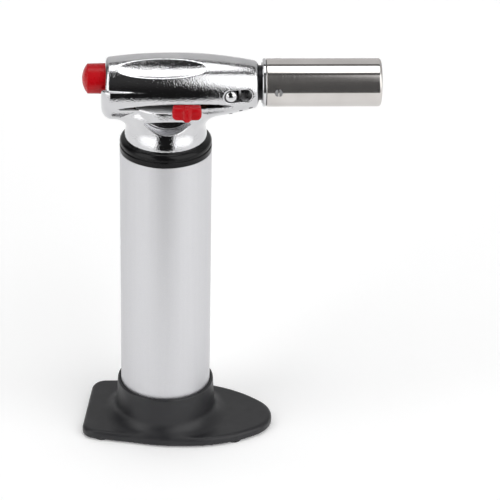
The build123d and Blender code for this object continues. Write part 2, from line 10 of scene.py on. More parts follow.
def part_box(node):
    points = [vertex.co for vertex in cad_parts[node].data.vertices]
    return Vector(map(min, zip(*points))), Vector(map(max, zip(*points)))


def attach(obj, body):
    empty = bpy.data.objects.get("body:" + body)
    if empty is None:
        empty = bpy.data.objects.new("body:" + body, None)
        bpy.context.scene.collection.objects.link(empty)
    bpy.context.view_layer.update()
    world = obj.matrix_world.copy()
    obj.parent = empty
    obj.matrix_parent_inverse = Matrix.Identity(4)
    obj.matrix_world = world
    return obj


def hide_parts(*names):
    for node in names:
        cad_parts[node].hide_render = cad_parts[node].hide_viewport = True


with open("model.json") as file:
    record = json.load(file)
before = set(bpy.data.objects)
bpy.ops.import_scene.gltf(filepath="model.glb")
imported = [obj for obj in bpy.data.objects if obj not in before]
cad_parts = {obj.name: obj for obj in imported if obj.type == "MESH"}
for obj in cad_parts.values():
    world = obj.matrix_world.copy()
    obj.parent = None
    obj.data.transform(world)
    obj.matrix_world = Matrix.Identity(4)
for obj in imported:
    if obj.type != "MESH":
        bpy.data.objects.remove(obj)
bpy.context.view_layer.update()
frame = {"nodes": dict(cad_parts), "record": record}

# The looks of a bench butane torch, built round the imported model. Shapes are worked out in
# millimetres and written to Blender in metres.
MM = 0.001


def span(node):
    """Lowest and highest corner of a node, in millimetres."""
    low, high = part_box(node)
    return np.array(low) / MM, np.array(high) / MM


# Places and sizes from the frame
TUBE_LOW, TUBE_HIGH = span("flame_tube")
TANK_LOW, TANK_HIGH = span("tank_tube")
HEAD_LOW, HEAD_HIGH = span("head_housing")
PLATE_LOW, PLATE_HIGH = span("base_plate")
COLLAR_LOW, COLLAR_HIGH = span("base_collar")
RING_LOW, RING_HIGH = span("tube_rear_ring")
BUTTON_LOW, BUTTON_HIGH = span("ignition_button")
LEVER_LOW, LEVER_HIGH = span("gas_lever")
KNOB_LOW, KNOB_HIGH = span("air_knob")
BEZEL_LOW, BEZEL_HIGH = span("button_bezel")
TRIM_LOW, TRIM_HIGH = span("top_ring")

AXIS_Z = (TUBE_LOW[2] + TUBE_HIGH[2]) / 2
TUBE_R = (TUBE_HIGH[2] - TUBE_LOW[2]) / 2
TANK_R = (TANK_HIGH[0] - TANK_LOW[0]) / 2
BUTTON_Z = (BUTTON_LOW[2] + BUTTON_HIGH[2]) / 2
BUTTON_R = (BUTTON_HIGH[2] - BUTTON_LOW[2]) / 2
BEZEL_R = (BEZEL_HIGH[2] - BEZEL_LOW[2]) / 2
KNOB_X = (KNOB_LOW[0] + KNOB_HIGH[0]) / 2
LEVER_X = (LEVER_LOW[0] + LEVER_HIGH[0]) / 2
BARREL_FRONT = HEAD_HIGH[0]
BULGE_REAR = HEAD_LOW[0]
BARREL_REAR = BEZEL_LOW[0] - 0.2


# ---------------------------------------------------------------- meshes

def add_piece(name, points, faces, body, replaced, material):
    """Object from points in millimetres, riding on a body and standing for CAD nodes."""
    mesh = bpy.data.meshes.new(name)
    mesh.from_pydata([tuple(p) for p in np.asarray(points) * MM], [], [tuple(f) for f in faces])
    mesh.validate()
    mesh.polygons.foreach_set("use_smooth", [True] * len(mesh.polygons))
    mesh.materials.append(material)
    piece = bpy.data.objects.new(name, mesh)
    bpy.context.scene.collection.objects.link(piece)
    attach(piece, body)
    if replaced:
        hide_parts(*replaced)
    return piece


def rounded(corners, steps=5):
    """Closed outline of (along, radius, rounding) corners, each rounding an arc with a
    supporting point just outside each end."""
    outline = []
    count = len(corners)
    for i, (a, b, r) in enumerate(corners):
        here = np.array((a, b), float)
        back = np.array(corners[i - 1][:2], float) - here
        ahead = np.array(corners[(i + 1) % count][:2], float) - here
        back_length = np.linalg.norm(back)
        ahead_length = np.linalg.norm(ahead)
        back = back / back_length
        ahead = ahead / ahead_length
        half = math.acos(max(-1.0, min(1.0, float(back @ ahead)))) / 2
        if r <= 0 or abs(half - math.pi / 2) < 1e-3:
            outline.append(here)
            continue
        setback = min(r / math.tan(half), 0.45 * back_length, 0.45 * ahead_length)
        radius = setback * math.tan(half)
        middle = (back + ahead) / np.linalg.norm(back + ahead)
        centre = here + middle * radius / math.sin(half)
        start = here + back * setback - centre
        end = here + ahead * setback - centre
        turn = math.acos(max(-1.0, min(1.0, float(start @ end) / radius**2)))
        support = min(0.12, 0.1 * setback)
        outline.append(here + back * (setback + support))
        for step in range(steps + 1):
            f = step / steps
            arc = (math.sin((1 - f) * turn) * start + math.sin(f * turn) * end) / math.sin(turn)
            outline.append(centre + arc)
        outline.append(here + ahead * (setback + support))
    return np.array(outline)


def lathe(outline, axis, centre, segments=160):
    """Points and faces of a closed outline of (along, radius) turned about an axis."""
    angles = np.linspace(0, 2 * math.pi, segments, endpoint=False)
    along = outline[:, 0]
    radius = np.maximum(outline[:, 1], 0.0)
    cos = np.cos(angles)[:, None] * radius[None, :]
    sin = np.sin(angles)[:, None] * radius[None, :]
    line = np.repeat(along[None, :], segments, 0)
    if axis == "x":
        points = np.stack([line, cos + centre[1], sin + centre[2]], -1)
    elif axis == "y":
        points = np.stack([sin + centre[0], line, cos + centre[2]], -1)
    else:
        points = np.stack([cos + centre[0], sin + centre[1], line], -1)
    count = len(outline)
    points = points.reshape(-1, 3)
    faces = []
    for i in range(segments):
        j = (i + 1) % segments
        for k in range(count):
            m = (k + 1) % count
            if radius[k] < 1e-6 and radius[m] < 1e-6:
                continue
            face = [i * count + k, j * count + k, j * count + m, i * count + m]
            if radius[k] < 1e-6:
                face = [k, j * count + m, i * count + m]
            if radius[m] < 1e-6:
                face = [i * count + k, j * count + k, m]
            faces.append(face)
    return points, faces


def turned(name, corners, axis, centre, body, replaced, material, segments=160, steps=5):
    """Lathe-turned piece from rounded corners, with outward faces and no spare points."""
    points, faces = lathe(rounded(corners, steps), axis, centre, segments)
    piece = add_piece(name, points, faces, body, replaced, material)
    tidy(piece)
    return piece


def tidy(piece):
    """Drops unused points and turns every face outwards."""
    work = bmesh.new()
    work.from_mesh(piece.data)
    loose = [v for v in work.verts if not v.link_faces]
    bmesh.ops.delete(work, geom=loose, context="VERTS")
    bmesh.ops.recalc_face_normals(work, faces=work.faces)
    work.to_mesh(piece.data)
    work.free()


def union_round(a, b, r):
    """Union of two distance fields with a fillet of radius r."""
    corner = np.hypot(np.maximum(r - a, 0), np.maximum(r - b, 0))
    return np.maximum(r, np.minimum(a, b)) - corner


def meet_round(a, b, r):
    """Intersection of two distance fields with its edge rounded."""
    return -union_round(-a, -b, r)


def cut_round(a, b, r):
    """a with b taken out, and the edge rounded."""
    return -union_round(-a, b, r)


def slab(value, low, high):
    """Distance to the space between two planes."""
    return np.maximum(low - value, value - high)


def smooth(value):
    """0 below 0, 1 above 1, and an even S-curve between."""
    value = np.clip(value, 0, 1)
    return value * value * (3 - 2 * value)


def brick(x, y, z, low, high, r):
    """Box with every edge rounded."""
    half = (np.array(high) - np.array(low)) / 2
    middle = (np.array(high) + np.array(low)) / 2
    qx = np.abs(x - middle[0]) - half[0] + r
    qy = np.abs(y - middle[1]) - half[1] + r
    qz = np.abs(z - middle[2]) - half[2] + r
    outside = np.sqrt(np.maximum(qx, 0) ** 2 + np.maximum(qy, 0) ** 2 + np.maximum(qz, 0) ** 2)
    return outside + np.minimum(np.maximum(qx, np.maximum(qy, qz)), 0) - r


def ellipsoid(x, y, z, a, b, c):
    """Near-surface distance to an ellipsoid about the origin."""
    near = np.sqrt((x / a) ** 2 + (y / b) ** 2 + (z / c) ** 2) + 1e-6
    slope = np.sqrt((x / a**2) ** 2 + (y / b**2) ** 2 + (z / c**2) ** 2) + 1e-6
    return near * (near - 1) / slope


def settle(points, field, reach, rounds):
    """Draws points onto the field's zero surface."""
    step = 0.04
    for _ in range(rounds):
        x, y, z = points.T
        value = field(x, y, z)
        slope = np.stack(
            [
                field(x + step, y, z) - field(x - step, y, z),
                field(x, y + step, z) - field(x, y - step, z),
                field(x, y, z + step) - field(x, y, z - step),
            ],
            -1,
        ) / (2 * step)
        size = np.maximum((slope**2).sum(-1), 0.05)
        move = -(value / size)[:, None] * slope
        length = np.linalg.norm(move, axis=1)
        points = points + move * np.minimum(1, reach / np.maximum(length, 1e-9))[:, None]
    return points


def relax(points, faces):
    """Each point moved part of the way to the middle of its neighbours."""
    total = np.zeros_like(points)
    number = np.zeros(len(points))
    for a, b in ((0, 1), (1, 2), (2, 3), (3, 0)):
        for one, other in ((faces[:, a], faces[:, b]), (faces[:, b], faces[:, a])):
            np.add.at(total, one, points[other])
            np.add.at(number, one, 1)
    return points + 0.5 * (total / number[:, None] - points)


def surface(field, low, high, cell):
    """Points and faces of field = 0, by surface nets, drawn onto the true surface."""
    axes = [np.arange(low[i] - 2 * cell, high[i] + 2 * cell, cell) for i in range(3)]
    x, y, z = np.meshgrid(*axes, indexing="ij")
    value = field(x, y, z)
    inside = value < 0
    shape = np.array(value.shape) - 1

    def shifted(array, offset):
        i, j, k = offset
        return array[i : i + shape[0], j : j + shape[1], k : k + shape[2]]

    corners = [(i, j, k) for i in (0, 1) for j in (0, 1) for k in (0, 1)]
    count = sum(shifted(inside, c).astype(np.int8) for c in corners)
    active = (count > 0) & (count < 8)
    index = np.full(shape, -1, int)
    index[active] = np.arange(active.sum())
    total = np.zeros((active.sum(), 3))
    number = np.zeros(active.sum())
    for axis in range(3):
        unit = np.eye(3, dtype=int)[axis]
        for corner in corners:
            if corner[axis]:
                continue
            a = shifted(value, corner)[active]
            b = shifted(value, tuple(np.array(corner) + unit))[active]
            crosses = (a < 0) != (b < 0)
            part = np.where(crosses, a / np.where(crosses, a - b, 1), 0)
            total[crosses] += (np.array(corner) + part[:, None] * unit)[crosses]
            number[crosses] += 1
    origin = np.array([a[0] for a in axes])
    points = (np.argwhere(active) + total / number[:, None]) * cell + origin
    faces = []
    for axis in range(3):
        b, c = (axis + 1) % 3, (axis + 2) % 3
        unit = np.eye(3, dtype=int)
        starts = np.argwhere(
            np.take(inside, range(shape[axis]), axis) != np.take(inside, range(1, shape[axis] + 1), axis)
        )
        starts = starts[(starts[:, b] > 0) & (starts[:, c] > 0)]
        starts = starts[(starts[:, b] < shape[b]) & (starts[:, c] < shape[c])]
        solid = inside[tuple(starts.T)]
        around = [starts - unit[b] - unit[c], starts - unit[c], starts, starts - unit[b]]
        quad = np.stack([index[tuple(p.T)] for p in around], -1)
        quad[~solid] = quad[~solid][:, ::-1]
        faces.append(quad)
    faces = np.concatenate(faces)
    points = settle(points, field, cell / 2, 3)
    for _ in range(3):
        points = relax(points, faces)
        points = settle(points, field, cell / 2, 3)
    return points, faces


def moulded(name, field, low, high, cell, body, replaced, material):
    """Cast or moulded piece meshed from a distance field."""
    points, faces = surface(field, low, high, cell)
    return add_piece(name, points, faces, body, replaced, material)


# ---------------------------------------------------------------- materials

def colour_ramp(tree, source, stops):
    """Ramp of (place, colour) stops, driven by source."""
    node = tree.nodes.new("ShaderNodeValToRGB")
    elements = node.color_ramp.elements
    while len(elements) < len(stops):
        elements.new(0.5)
    for element, (place, colour) in zip(elements, stops):
        element.position = place
        element.color = (*colour, 1)
    tree.links.new(source, node.inputs["Fac"])
    return node.outputs["Color"]


class Shader:
    """A procedural material under construction."""

    def __init__(self, name):
        self.material = bpy.data.materials.new(name)
        self.material.use_nodes = True
        self.tree = self.material.node_tree
        self.principled = self.tree.nodes["Principled BSDF"]
        self.coords = self.tree.nodes.new("ShaderNodeTexCoord").outputs["Object"]

    def set(self, **values):
        """Uniform values for the shader's inputs, with _ for a space in their names."""
        for key, value in values.items():
            self.principled.inputs[key.replace("_", " ")].default_value = value
        return self

    def stretched(self, scale):
        """Object coordinates scaled by axis, for noise drawn out into lines."""
        node = self.tree.nodes.new("ShaderNodeMapping")
        node.inputs["Scale"].default_value = scale
        self.tree.links.new(self.coords, node.inputs["Vector"])
        return node.outputs["Vector"]

    def noise(self, scale, detail=3.0, roughness=0.5, vector=None):
        node = self.tree.nodes.new("ShaderNodeTexNoise")
        node.inputs["Scale"].default_value = scale
        node.inputs["Detail"].default_value = detail
        node.inputs["Roughness"].default_value = roughness
        self.tree.links.new(vector or self.coords, node.inputs["Vector"])
        return node.outputs["Fac"]

    def ramp(self, source, stops):
        return colour_ramp(self.tree, source, stops)

    def scaled(self, source, low, high, start=0.3, end=0.7):
        """Source's range from start to end, mapped onto low to high."""
        node = self.tree.nodes.new("ShaderNodeMapRange")
        node.inputs["From Min"].default_value = start
        node.inputs["From Max"].default_value = end
        node.inputs["To Min"].default_value = low
        node.inputs["To Max"].default_value = high
        self.tree.links.new(source, node.inputs["Value"])
        return node.outputs["Result"]

    def bump(self, heights):
        """Chain of bumps from (height, distance in metres, strength)."""
        previous = None
        for height, distance, strength in heights:
            node = self.tree.nodes.new("ShaderNodeBump")
            node.inputs["Distance"].default_value = distance
            node.inputs["Strength"].default_value = strength
            self.tree.links.new(height, node.inputs["Height"])
            if previous:
                self.tree.links.new(previous, node.inputs["Normal"])
            previous = node.outputs["Normal"]
        self.tree.links.new(previous, self.principled.inputs["Normal"])
        return self

    def colour(self, source):
        self.tree.links.new(source, self.principled.inputs["Base Color"])
        return self

    def rough(self, source):
        self.tree.links.new(source, self.principled.inputs["Roughness"])
        return self


def cast_chrome():
    s = Shader("cast_chrome").set(Metallic=1.0)
    s.colour(s.ramp(s.noise(90, 2), [(0.35, (0.60, 0.60, 0.615)), (0.65, (0.66, 0.66, 0.67))]))
    s.rough(s.scaled(s.noise(320, 4), 0.05, 0.11))
    grain = s.noise(1500, 1.0, 0.5)
    broad = s.noise(260, 2.0, 0.5)
    return s.bump([(grain, 0.00008, 1.0), (broad, 0.00006, 0.25)]).material


def bright_chrome():
    s = Shader("bright_chrome").set(Metallic=1.0)
    s.colour(s.ramp(s.noise(120, 2), [(0.35, (0.62, 0.62, 0.63)), (0.65, (0.68, 0.68, 0.69))]))
    s.rough(s.scaled(s.noise(500, 3), 0.04, 0.09))
    return s.bump([(s.noise(900, 2.0), 0.00001, 0.2)]).material


def stainless():
    s = Shader("polished_stainless").set(Metallic=0.9)
    lines = s.noise(1.0, 3.0, 0.6, s.stretched((4500, 60, 60)))
    s.colour(s.ramp(s.noise(60, 3), [(0.35, (0.60, 0.575, 0.555)), (0.65, (0.655, 0.63, 0.61))]))
    s.rough(s.scaled(lines, 0.05, 0.11))
    return s.bump([(lines, 0.000004, 0.3)]).material


def anodised():
    s = Shader("anodised_aluminium").set(Metallic=0.85)
    lines = s.noise(1.0, 3.0, 0.55, s.stretched((500, 500, 12)))
    speck = s.noise(5200, 2.0, 0.7)
    s.colour(s.ramp(speck, [(0.3, (0.61, 0.61, 0.628)), (0.7, (0.68, 0.68, 0.698))]))
    s.rough(s.scaled(lines, 0.42, 0.50))
    return s.bump([(speck, 0.00001, 0.35), (lines, 0.00001, 0.15)]).material


def black_moulded():
    s = Shader("black_moulded_plastic").set(Metallic=0.0, Specular_IOR_Level=0.4)
    s.colour(s.ramp(s.noise(45, 3), [(0.35, (0.012, 0.012, 0.014)), (0.65, (0.018, 0.018, 0.020))]))
    s.rough(s.scaled(s.noise(180, 4), 0.34, 0.44))
    return s.bump([(s.noise(1500, 2.0, 0.6), 0.00003, 0.25), (s.noise(30, 2.0), 0.0001, 0.1)]).material


def black_gloss():
    s = Shader("black_gloss_plastic").set(Metallic=0.0, Specular_IOR_Level=0.2)
    s.colour(s.ramp(s.noise(60, 3), [(0.35, (0.003, 0.003, 0.0035)), (0.65, (0.006, 0.006, 0.0065))]))
    s.rough(s.scaled(s.noise(260, 4), 0.14, 0.22))
    return s.bump([(s.noise(1200, 2.0), 0.00002, 0.15)]).material


def red_plastic():
    s = Shader("red_gloss_plastic").set(Metallic=0.0, Specular_IOR_Level=0.22)
    s.colour(s.ramp(s.noise(70, 3), [(0.35, (0.43, 0.002, 0.006)), (0.65, (0.50, 0.004, 0.009))]))
    s.rough(s.scaled(s.noise(240, 4), 0.22, 0.32))
    return s.bump([(s.noise(900, 2.0), 0.00002, 0.15)]).material


def plain_metal(name, dark, light, rough_low, rough_high, stretch=(2500, 60, 60)):
    s = Shader(name).set(Metallic=1.0)
    lines = s.noise(1.0, 3.0, 0.6, s.stretched(stretch))
    s.colour(s.ramp(s.noise(150, 4), [(0.3, dark), (0.7, light)]))
    s.rough(s.scaled(lines, rough_low, rough_high))
    return s.bump([(lines, 0.00001, 0.3)]).material


def plain_matter(name, dark, light, rough_low, rough_high, grain=900, depth=0.00004):
    s = Shader(name).set(Metallic=0.0)
    s.colour(s.ramp(s.noise(140, 4), [(0.3, dark), (0.7, light)]))
    s.rough(s.scaled(s.noise(300, 3), rough_low, rough_high))
    return s.bump([(s.noise(grain, 3.0, 0.6), depth, 0.4)]).material


CHROME = cast_chrome()
TRIM = bright_chrome()
STAINLESS = stainless()
ALUMINIUM = anodised()
BLACK = black_moulded()
GLOSS_BLACK = black_gloss()
RED = red_plastic()
RUBBER = plain_matter("black_rubber", (0.012, 0.012, 0.012), (0.02, 0.02, 0.02), 0.6, 0.75)
EVEN_GRAIN = (900, 900, 900)
SATIN_CAST = plain_metal("satin_cast", (0.78, 0.78, 0.79), (0.86, 0.86, 0.87), 0.55, 0.65, EVEN_GRAIN)
# Blackened steel for the dark steel parts and the tick marks, also laid thin round the screw heads as
# painted shadow
DARK_STEEL_AND_SHADE = plain_metal("blackened_steel_and_painted_shade", (0.02, 0.02, 0.022), (0.035, 0.035, 0.038), 0.3, 0.42)

BY_SLOT = {
    "stand_plastic": BLACK,
    "foot_rubber": RUBBER,
    "tank_aluminium": ALUMINIUM,
    "black_trim": GLOSS_BLACK,
    "chrome_cast": CHROME,
    "chrome_trim": TRIM,
    "red_plastic": RED,
    "stainless": STAINLESS,
    "steel": plain_metal("bright_steel", (0.42, 0.42, 0.43), (0.55, 0.55, 0.56), 0.18, 0.3),
    "dark_steel": DARK_STEEL_AND_SHADE,
    "brass": plain_metal("turned_brass", (0.62, 0.42, 0.16), (0.74, 0.54, 0.24), 0.2, 0.34),
    "copper": plain_metal("drawn_copper", (0.62, 0.28, 0.16), (0.75, 0.38, 0.22), 0.22, 0.36),
    "seal_rubber": RUBBER,
    "ceramic": plain_matter("white_ceramic", (0.72, 0.70, 0.64), (0.84, 0.82, 0.77), 0.25, 0.4),
    "igniter_plastic": plain_matter("igniter_plastic", (0.03, 0.03, 0.035), (0.05, 0.05, 0.055), 0.4, 0.55),
    "wick_felt": plain_matter("wick_felt", (0.55, 0.52, 0.42), (0.75, 0.72, 0.62), 0.85, 0.95, 500, 0.0002),
    "lead_jacket": plain_matter("lead_jacket", (0.45, 0.45, 0.43), (0.6, 0.6, 0.58), 0.5, 0.65),
}

for part in frame["record"]["subparts"]:
    node = frame["nodes"][part["node"]]
    node.data.materials.clear()
    node.data.materials.append(BY_SLOT[part["material_slot"]])


# ---------------------------------------------------------------- head

# Heights in this section are from the nozzle's axis
HEAD_WALL = 1.8
HEAD_END_WALL = 2.0
HEAD_FLOOR = 4.2

# Barrel: half width and depth at its middle, and how they fall with the distance squared
BARREL_MIDDLE = 2.0
BARREL_HALF_WIDTH = 16.6
BARREL_DEPTH = 19.4
BARREL_TAPER = 0.00225
BARREL_DEPTH_TAPER = 0.0033
BARREL_CROWN_DROP = 0.7
BARREL_EDGE_R = 1.9
WIDEST_DROP = 2.0

BULGE_HALF_WIDTH = 16.45
BULGE_DEPTH = 19.0
BULGE_TOP = 2.0
BULGE_FRONT = 12.0
BULGE_CORNER_R = 6.0
BULGE_FADE = 0.006
BULGE_FADE_START = -14.0

NECK_R = 20.0
NECK_TOP = -7.8
NECK_SWELL = 0.5
SWELL_BOTTOM = -19.0
FLARE_WIDTH = 1.35
FLARE_BOTTOM = 2.2
FLARE_HEIGHT = 9.0
FLANGE_R = 21.1
FLANGE_BOTTOM = HEAD_LOW[2] - AXIS_Z
FLANGE_HEIGHT = 1.25

# Fillet between barrel and neck, wider low down than at the slot
FILLET_R = 0.8
FILLET_GROWTH = 6.4
FILLET_GROWS_BELOW = 9.0
FILLET_GROWS_OVER = 6.0

SCALLOP_ANGLE = math.radians(54)
SCALLOP_X = -2.1
SCALLOP_OUT = 18.75
SCALLOP_HALVES = (28.6, 10.0, 4.84)

# Finger pocket: height and radius of its two arcs, and its back, which leans
POCKET_X = 0.7
POCKET_ARCS = ((-4.05, 16.3), (-47.8, 34.8))
POCKET_BACK_Y = -12.0
POCKET_LEAN = 0.12
POCKET_LEAN_Z = -16.7

SLOT_CREST = 9.0
SLOT_HEIGHT = 3.05
SLOT_REAR_REACH = 34
SLOT_FRONT_REACH = 25
SLOT_BACK_Y = -12.2

WINDOW_X = 36.7
WINDOW_Z = -1.6
WINDOW_HALF = 3.7
WINDOW_R = 3.4
WINDOW_INNER_Y = 5

BEZEL_GAP = 0.03
BEZEL_POCKET = 4
NOZZLE_BORE_R = 9.03
NOZZLE_BORE_DEPTH = 5
STEM_BORE_R = 5.1
STEM_BORE_TOP = 6

# Tick marks beside the air slide: place along X, angle round the barrel, half length along X
MARKS = ((33.2, -60, 0.9), (38.4, -50, 0.9), (43.4, -46, 1.0))
MARK_HALF_WIDTH = 0.45
MARK_INNER_Y = -4


def egg(y, z, half_width, up, down):
    """Near-surface distance to a section made of two half-ellipses, widest a little below the axis."""
    z = z + WIDEST_DROP
    reach = np.where(z > 0, up + WIDEST_DROP, down - WIDEST_DROP)
    near = np.hypot(y / half_width, z / reach) + 1e-6
    slope = np.hypot(y / half_width**2, z / reach**2) + 1e-6
    return near * (near - 1) / slope


def barrel(x, y, z):
    """Long barrel, thickest near its middle."""
    away = (x - BARREL_MIDDLE) ** 2
    half_width = BARREL_HALF_WIDTH - BARREL_TAPER * away
    depth = BARREL_DEPTH - BARREL_DEPTH_TAPER * away
    sides = egg(y, z, half_width, half_width - BARREL_CROWN_DROP, depth)
    return meet_round(sides, slab(x, BARREL_REAR, BARREL_FRONT), BARREL_EDGE_R)


def rear_bulge(x, y, z):
    """Lower rear of the casting: it keeps its width where the barrel narrows."""
    fade = BULGE_FADE * np.maximum(x - BULGE_FADE_START, 0) ** 2
    half_width = BULGE_HALF_WIDTH - fade
    sides = egg(y, z, half_width, half_width, BULGE_DEPTH - fade)
    sides = meet_round(sides, BULGE_REAR - x, BULGE_CORNER_R)
    return meet_round(np.maximum(sides, x - BULGE_FRONT), z - BULGE_TOP, 0.7)


def neck(x, y, z):
    """Round neck, waisted, and flared out to the flange."""
    flare = FLARE_WIDTH * (1 - smooth((z - FLANGE_BOTTOM - FLARE_BOTTOM) / FLARE_HEIGHT))
    swell = NECK_SWELL * smooth((z - SWELL_BOTTOM) / FLARE_HEIGHT)
    radius = NECK_R + flare + swell
    radius = np.where(z < FLANGE_BOTTOM + FLANGE_HEIGHT, FLANGE_R, radius)
    return meet_round(np.hypot(x, y) - radius, slab(z, FLANGE_BOTTOM, NECK_TOP), 0.6)


def scallop(x, y, z, side):
    """Long shallow hollow with a crisp oval edge."""
    out = side * y * math.cos(SCALLOP_ANGLE) + z * math.sin(SCALLOP_ANGLE)
    across = z * math.cos(SCALLOP_ANGLE) - side * y * math.sin(SCALLOP_ANGLE)
    lift = out + BARREL_TAPER * (x - BARREL_MIDDLE) ** 2
    return ellipsoid(x - SCALLOP_X, across, lift - SCALLOP_OUT, *SCALLOP_HALVES)


def finger_pocket(x, y, z):
    """Lens-shaped pocket in the neck under the lever."""
    lower, upper = [np.hypot(x - POCKET_X, z - height) - radius for height, radius in POCKET_ARCS]
    back = y - POCKET_BACK_Y - POCKET_LEAN * (z - POCKET_LEAN_Z)
    return np.maximum(np.maximum(lower, upper), back)


def lever_slot(x, y, z):
    """Low arch over the neck's flat top, skewed towards the front."""
    rear_rise = 1 - ((x - SLOT_CREST) / SLOT_REAR_REACH) ** 2
    front_rise = np.sqrt(np.clip(1 - ((x - SLOT_CREST) / SLOT_FRONT_REACH) ** 2, 0, 1))
    rise = SLOT_HEIGHT * np.where(x < SLOT_CREST, rear_rise, front_rise)
    return np.maximum(slab(z, NECK_TOP, NECK_TOP + rise), y - SLOT_BACK_Y)


def mark_area(x, y, z, mark):
    """Outline of one of the tick marks beside the air slide."""
    mark_x, angle, half_length = mark
    turn = math.radians(angle)
    across = z * math.cos(turn) + y * math.sin(turn)
    area = np.maximum(np.abs(x - mark_x) - half_length, np.abs(across) - MARK_HALF_WIDTH)
    return np.maximum(area, y - MARK_INNER_Y)


def head_outside(x, y, z):
    """Casting's outer surface, with the scallops and the pocket but no openings."""
    body = np.minimum(barrel(x, y, z), rear_bulge(x, y, z))
    low = smooth((-z - FILLET_GROWS_BELOW) / FILLET_GROWS_OVER)
    shape = union_round(body, neck(x, y, z), FILLET_R + FILLET_GROWTH * low)
    for side in (1, -1):
        shape = cut_round(shape, scallop(x, y, z, side), 0.18)
    return cut_round(shape, finger_pocket(x, y, z), 0.55)


def head_field(x, y, z):
    """Whole casting: hollow, with the slot, the windows and the three bores cut."""
    z = z - AXIS_Z
    outside = head_outside(x, y, z)
    ends = slab(x, BARREL_REAR + HEAD_END_WALL, BARREL_FRONT - HEAD_END_WALL)
    hollow = np.maximum(np.maximum(outside + HEAD_WALL, ends), FLANGE_BOTTOM + HEAD_FLOOR - z)
    shape = cut_round(outside, hollow, 0.2)
    shape = cut_round(shape, lever_slot(x, y, z), 0.15)
    along = x - WINDOW_X - np.clip(x - WINDOW_X, -WINDOW_HALF, WINDOW_HALF)
    window = np.maximum(np.hypot(along, z - WINDOW_Z) - WINDOW_R, WINDOW_INNER_Y - np.abs(y))
    shape = cut_round(shape, window, 0.45)
    rear = np.hypot(y, z - BUTTON_Z + AXIS_Z) - BEZEL_R - BEZEL_GAP
    rear = np.maximum(rear, x - BARREL_REAR - BEZEL_POCKET)
    front = np.maximum(np.hypot(y, z) - NOZZLE_BORE_R, BARREL_FRONT - NOZZLE_BORE_DEPTH - x)
    stem = np.maximum(np.hypot(x, y) - STEM_BORE_R, z - FLANGE_BOTTOM - STEM_BORE_TOP)
    return cut_round(cut_round(np.maximum(shape, -stem), rear, 0.3), front, 0.3)


moulded(
    "head_casting", head_field, HEAD_LOW, HEAD_HIGH, 0.5, "torch",
    ["head_housing"], CHROME,
)

for number, mark in enumerate(MARKS):
    def mark_field(x, y, z, mark=mark):
        """Thin plate on the casting, in the outline of one mark."""
        z = z - AXIS_Z
        return meet_round(slab(head_outside(x, y, z), -0.4, 0.12), mark_area(x, y, z, mark), 0.1)

    mark_low = (mark[0] - 1.5, -15, AXIS_Z - 16)
    mark_high = (mark[0] + 1.5, -5, AXIS_Z - 6)
    moulded(
        "mark_%d" % number, mark_field, mark_low, mark_high, 0.2, "torch", [], DARK_STEEL_AND_SHADE
    )


SLOT_FLOOR_R = 20.2
SLOT_FLOOR_INNER_Y = -9.4


def slot_floor_field(x, y, z):
    """Unpolished floor inside the lever slot."""
    plate = slab(z - AXIS_Z, NECK_TOP - 0.5, NECK_TOP + 0.12)
    strip = slab(y, -SLOT_FLOOR_R, SLOT_FLOOR_INNER_Y)
    return np.maximum(np.maximum(np.hypot(x, y) - SLOT_FLOOR_R, plate), strip)


moulded(
    "slot_floor", slot_floor_field, (-19, -20.3, AXIS_Z - 8.6), (19, -9, AXIS_Z - 7.5), 0.25,
    "torch", [], SATIN_CAST,
)

NOZZLE = (0, 0, AXIS_Z)
BUTTON_AXIS = (0, 0, BUTTON_Z)
BUTTON_SKIRT = 1.5
BUTTON_FACE = 4.5
DOME_R = 12.17
DOME_STEPS = (0, 0.8, 1.6, 2.4, 3.2, 4.0, 4.8, 5.6, 6.4)

turned(
    "button_bezel_ring",
    [
        (BEZEL_LOW[0], BUTTON_R + 0.15, 0.2),
        (BEZEL_LOW[0], BEZEL_R, 0.3),
        (BEZEL_HIGH[0], BEZEL_R, 0.1),
        (BEZEL_HIGH[0], BUTTON_R + 0.15, 0.1),
    ],
    "x", BUTTON_AXIS, "torch", ["button_bezel"], TRIM,
)
turned(
    "button_cap",
    [
        *[(BUTTON_LOW[0] + DOME_R - math.sqrt(DOME_R**2 - r**2), r, 0) for r in DOME_STEPS],
        (BUTTON_LOW[0] + 2.8, BUTTON_R - 0.25, 0.8),
        (BUTTON_HIGH[0], BUTTON_R, 0.2),
        (BUTTON_HIGH[0], BUTTON_R - BUTTON_SKIRT, 0.2),
        (BUTTON_LOW[0] + BUTTON_FACE, BUTTON_R - BUTTON_SKIRT, 0.8),
        (BUTTON_LOW[0] + BUTTON_FACE, 0, 0),
    ],
    "x", BUTTON_AXIS, "button", ["ignition_button"], RED, steps=8,
)


# ---------------------------------------------------------------- lever and air knob

# Low and high corners, from the lever's middle and the nozzle's axis
LEVER_ARM = (-3, -20.6, -7.6), (3, -1.5, -5.6)
LEVER_PLATE = (-7.2, -22.4, -7.3), (7.2, -17.3, -3.9)
LEVER_WINGS = (-7.5, -23.0, -10.7), (7.5, -20.6, -4.0)
LEVER_RIB = (-1.9, -24.4, -11.4), (1.9, -20.6, -3.6)
PIN_HOLE_R = 1.22
PIN_HOLE_Y = -4
KNOB_R = 3.1
KNOB_HEAD = 6.0
KNOB_STEM_R = 1.18


def pad(x, y, z, low, high, corner, edge):
    """Upright plate across Y with round corners and softened edges."""
    qx = np.abs(x - (high[0] + low[0]) / 2) - (high[0] - low[0]) / 2 + corner
    qz = np.abs(z - (high[2] + low[2]) / 2) - (high[2] - low[2]) / 2 + corner
    outside = np.hypot(np.maximum(qx, 0), np.maximum(qz, 0))
    flat = outside + np.minimum(np.maximum(qx, qz), 0) - corner
    return meet_round(flat, slab(y, low[1], high[1]), edge)


